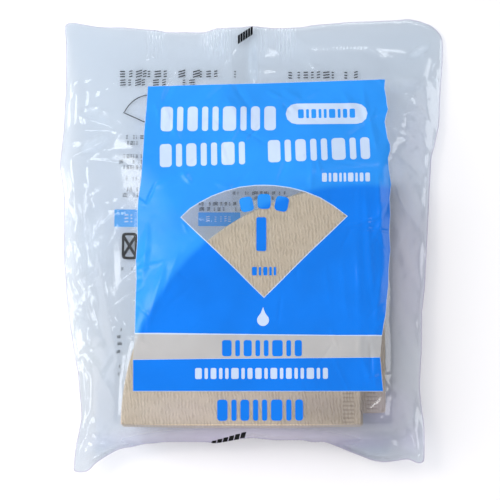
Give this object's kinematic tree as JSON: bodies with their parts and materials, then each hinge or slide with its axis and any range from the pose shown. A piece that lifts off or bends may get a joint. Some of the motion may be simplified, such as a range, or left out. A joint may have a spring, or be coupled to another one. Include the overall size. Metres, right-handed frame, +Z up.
{
  "type": "pack of paper coffee filters",
  "caption": "Clear film pillow bag with end seals and a flat back fin, holding a stack of brown cone coffee filters folded flat into quarter discs, lying on its back.",
  "frame": {"origin": "middle of the pack's outline, on the table that its back film rests on", "axes": "+X to the right of the printed side, +Y towards its top seal, +Z up out of the printed side"},
  "size_m": [0.164, 0.1958, 0.0262],
  "materials": {
    "film": "clear glossy packaging film",
    "paper": "unbleached creped filter paper",
    "print": "blue ink under glossy film"
  },
  "bodies": {
    "root": {"film_bag": "film", "rear_stack": "paper", "front_stack": "paper", "filter_01": "paper", "filter_02": "paper", "filter_03": "paper", "filter_04": "paper", "filter_05": "paper", "filter_06": "paper", "filter_07": "paper", "filter_08": "paper", "filter_09": "paper"}
  },
  "joints": []
}
